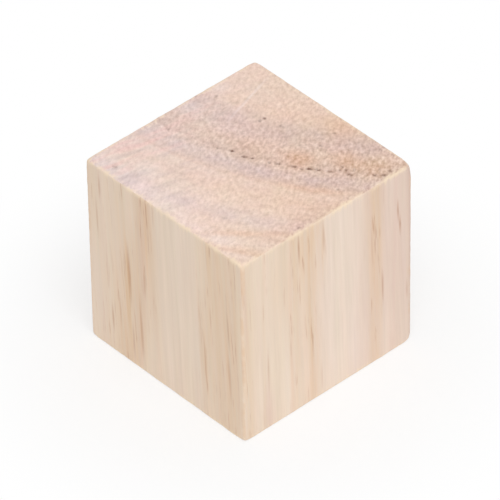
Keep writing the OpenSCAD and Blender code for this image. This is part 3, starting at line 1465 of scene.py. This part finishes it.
        _, _, on_z = add_node(tree, SEPARATE, {}, {0: plain}).outputs
        is_end = add_node(tree, "FunctionNodeCompare", "GREATER_THAN", {0: on_z, 1: 0.5})
        dressed = add_node(tree, "GeometryNodeSetMaterial", {}, {"Geometry": real, "Material": planed})
        ended = add_node(tree, "GeometryNodeSetMaterial", {}, {
            "Geometry": dressed, "Selection": is_end, "Material": sawn,
        })
        add_node(tree, "NodeGroupOutput", {}, {0: ended})
        return tree

    def build(self) -> Object:
        """Builds the block and puts it in the frame in place of its CAD node.

        Returns:
            The finished object.
        """
        tree = self.make_tree(self.planed.material(self.figure), self.sawn.material(self.figure))
        maker = bpy.data.objects.new("block_maker", bpy.data.meshes.new("block_maker"))
        bpy.context.collection.objects.link(maker)
        modifier = maker.modifiers.new("block", "NODES")
        modifier.node_group = tree
        values = self.inputs()
        for item in tree.interface.items_tree:
            if item.in_out == "INPUT":
                modifier[item.identifier] = values[item.name]
        evaluated = maker.evaluated_get(bpy.context.evaluated_depsgraph_get())
        mesh = bpy.data.meshes.new_from_object(evaluated)
        mesh.name = "pine_block"
        bpy.data.objects.remove(maker)
        block = bpy.data.objects.new("pine_block", mesh)
        bpy.context.collection.objects.link(block)
        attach(block, BODY)
        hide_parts(NODE)
        return block


@dataclass
class Studio:
    """Plain pale floor, soft light and the camera.

    Attributes:
        target: The block's middle, in metres.
        side: The block's width in metres.
        azimuth, elevation: Where the camera stands round and above the block, in degrees.
        distance: How far away it stands, in widths of the block.
        roll: How far it is tipped to the side, in degrees.
        lens: Its focal length.
        world_level: Strength of the even light.
        floor_size: Length of the floor's sides in metres.
        shadow_white: How white the floor is near the block, over and above its shadow.
        shadow_reach: How far from the block's middle that starts and ends giving way to plain
            white, in widths of the block.
    """

    target: Vector
    side: float
    azimuth: float = 47.957
    elevation: float = 40.079
    distance: float = 26.916
    roll: float = 1.007
    lens: float = 443.28
    world_level: float = 0.6
    floor_size: float = 6.0
    shadow_white: float = 0.62
    shadow_reach: tuple[float, float] = (0.7, 1.5)

    def stand(
        self, thing: Object, azimuth: float, elevation: float, distance: float, roll: float = 0.0
    ) -> None:
        """Stands a camera or a lamp off from the block, facing the block's middle.

        Args:
            thing: The camera or the lamp.
            azimuth: Where it stands round the block, in degrees from -Y towards +X.
            elevation: How high it stands, in degrees above the floor.
            distance: How far away it stands, in metres.
            roll: How far it is tipped to the side, in degrees.
        """
        azimuth, elevation = math.radians(azimuth), math.radians(elevation)
        back = Vector((
            math.sin(azimuth) * math.cos(elevation),
            -math.cos(azimuth) * math.cos(elevation),
            math.sin(elevation),
        ))
        turn = back.to_track_quat("Z", "Y").to_matrix().to_4x4()
        turn @= Matrix.Rotation(-math.radians(roll), 4, "Z")
        thing.matrix_world = Matrix.Translation(self.target + back * distance) @ turn
        bpy.context.collection.objects.link(thing)

    def add_camera(self) -> None:
        """Adds the camera: a long lens, looking down at the front vertical arris."""
        camera = bpy.data.objects.new("camera", bpy.data.cameras.new("camera"))
        camera.data.lens = self.lens
        self.stand(camera, self.azimuth, self.elevation, self.distance * self.side, self.roll)
        bpy.context.scene.camera = camera

    def add_seen(self, tree: NodeTree) -> Node:
        """Adds whether the camera sees a place, also in a reflection or through glass.

        Args:
            tree: Tree of the world or of the floor's material.

        Returns:
            Node that is 1 where it is seen and 0 where it only gives light.
        """
        rays = add_node(tree, "ShaderNodeLightPath").outputs
        seen = add_node(tree, MATH, "MAXIMUM", {0: rays["Is Camera Ray"], 1: rays["Is Glossy Ray"]})
        return add_node(tree, MATH, "MAXIMUM", {0: seen, 1: rays["Is Transmission Ray"]})

    def add_world(self) -> None:
        """Adds the even light all round, which the camera sees as plain white."""
        world = bpy.data.worlds.new("white_surround")
        bpy.context.scene.world = world
        world.use_nodes = True
        tree = world.node_tree
        tree.nodes.clear()
        level = add_node(tree, MAP_RANGE, {}, {
            "Value": self.add_seen(tree), "To Min": self.world_level, "To Max": 1.0,
        })
        background = add_node(tree, "ShaderNodeBackground", {}, {
            "Color": linear("#ffffff"), "Strength": level,
        })
        add_node(tree, "ShaderNodeOutputWorld", {}, {"Surface": background})

    def card(self) -> Material:
        """Makes the floor's material.

        Returns:
            The material, which takes a soft shadow near the block and is plain white beyond.
        """
        # Uncoated card scatters the light evenly and has no gloss.
        material = bpy.data.materials.new("matt_white_card")
        material.use_nodes = True
        tree = material.node_tree
        tree.nodes.clear()
        coordinates = add_node(tree, "ShaderNodeTexCoord")
        away = add_node(tree, VECTOR_MATH, "LENGTH", {0: coordinates.outputs["Object"]})
        start, stop = self.shadow_reach
        share = add_node(tree, MAP_RANGE, SMOOTH, {
            "Value": away, "From Min": start * self.side, "From Max": stop * self.side,
            "To Min": self.shadow_white, "To Max": 1.0,
        })
        white = add_node(tree, MATH, "MULTIPLY", {0: self.add_seen(tree), 1: share})
        matt = add_node(tree, "ShaderNodeBsdfDiffuse", {}, {"Color": linear("#fbfbfb")})
        plain = add_node(tree, "ShaderNodeEmission", {}, {"Color": linear("#ffffff")})
        mixed = add_node(tree, "ShaderNodeMixShader", {}, {0: white, 1: matt, 2: plain})
        add_node(tree, "ShaderNodeOutputMaterial", {}, {"Surface": mixed})
        return material

    def add_floor(self) -> None:
        """Adds the white floor."""
        half = self.floor_size / 2
        corners = [(-half, -half, 0), (half, -half, 0), (half, half, 0), (-half, half, 0)]
        mesh = bpy.data.meshes.new("floor")
        mesh.from_pydata(corners, [], [(0, 1, 2, 3)])
        mesh.materials.append(self.card())
        floor = bpy.data.objects.new("floor", mesh)
        bpy.context.collection.objects.link(floor)

    def add_lamp(
        self, name: str, azimuth: float, elevation: float, level: float, size: float = 0.7,
        distance: float = 1.0,
    ) -> None:
        """Adds a large square lamp, aimed at the block.

        Args:
            name: The lamp's name.
            azimuth: Where it stands round the block, in degrees from -Y towards +X.
            elevation: How high it stands, in degrees above the floor.
            level: What it adds to a white surface that faces it, where 1 is white.
            size: Length of its sides in metres.
            distance: How far away it stands, in metres.
        """
        data = bpy.data.lights.new(name, "AREA")
        data.size = size
        # An area lamp of P watts and side s radiates P / (pi s^2) for each unit of its face, and a
        # facing surface at distance d takes that over s^2 / d^2 of solid angle.
        data.energy = level * math.pi * math.pi * distance ** 2
        self.stand(bpy.data.objects.new(name, data), azimuth, elevation, distance)

    def build(self) -> None:
        """Sets up the camera, the floor and the light."""
        bpy.context.scene.view_settings.view_transform = "Standard"
        self.add_camera()
        self.add_world()
        self.add_floor()
        self.add_lamp("key_lamp", azimuth=62.0, elevation=56.0, level=0.46)


def main() -> None:
    """Builds the block and the studio, and logs what was built."""
    low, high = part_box(NODE)
    width = (high.x - low.x) / MM
    length = (high.z - low.z) / MM
    sizes = {"half_width": width / 2, "length": length}
    cube = WoodenCube(
        figure=PineFigure(**sizes), planed=PlanedPine(**sizes), sawn=SawnPine(**sizes),
        width=width, length=length,
    )
    block = cube.build()
    log.info("%s: %d faces, in place of %s", block.name, len(block.data.polygons), NODE)
    Studio(target=(low + high) / 2, side=width * MM).build()
    log.info("studio: camera, floor and lamp")


if __name__ == "__main__":
    main()
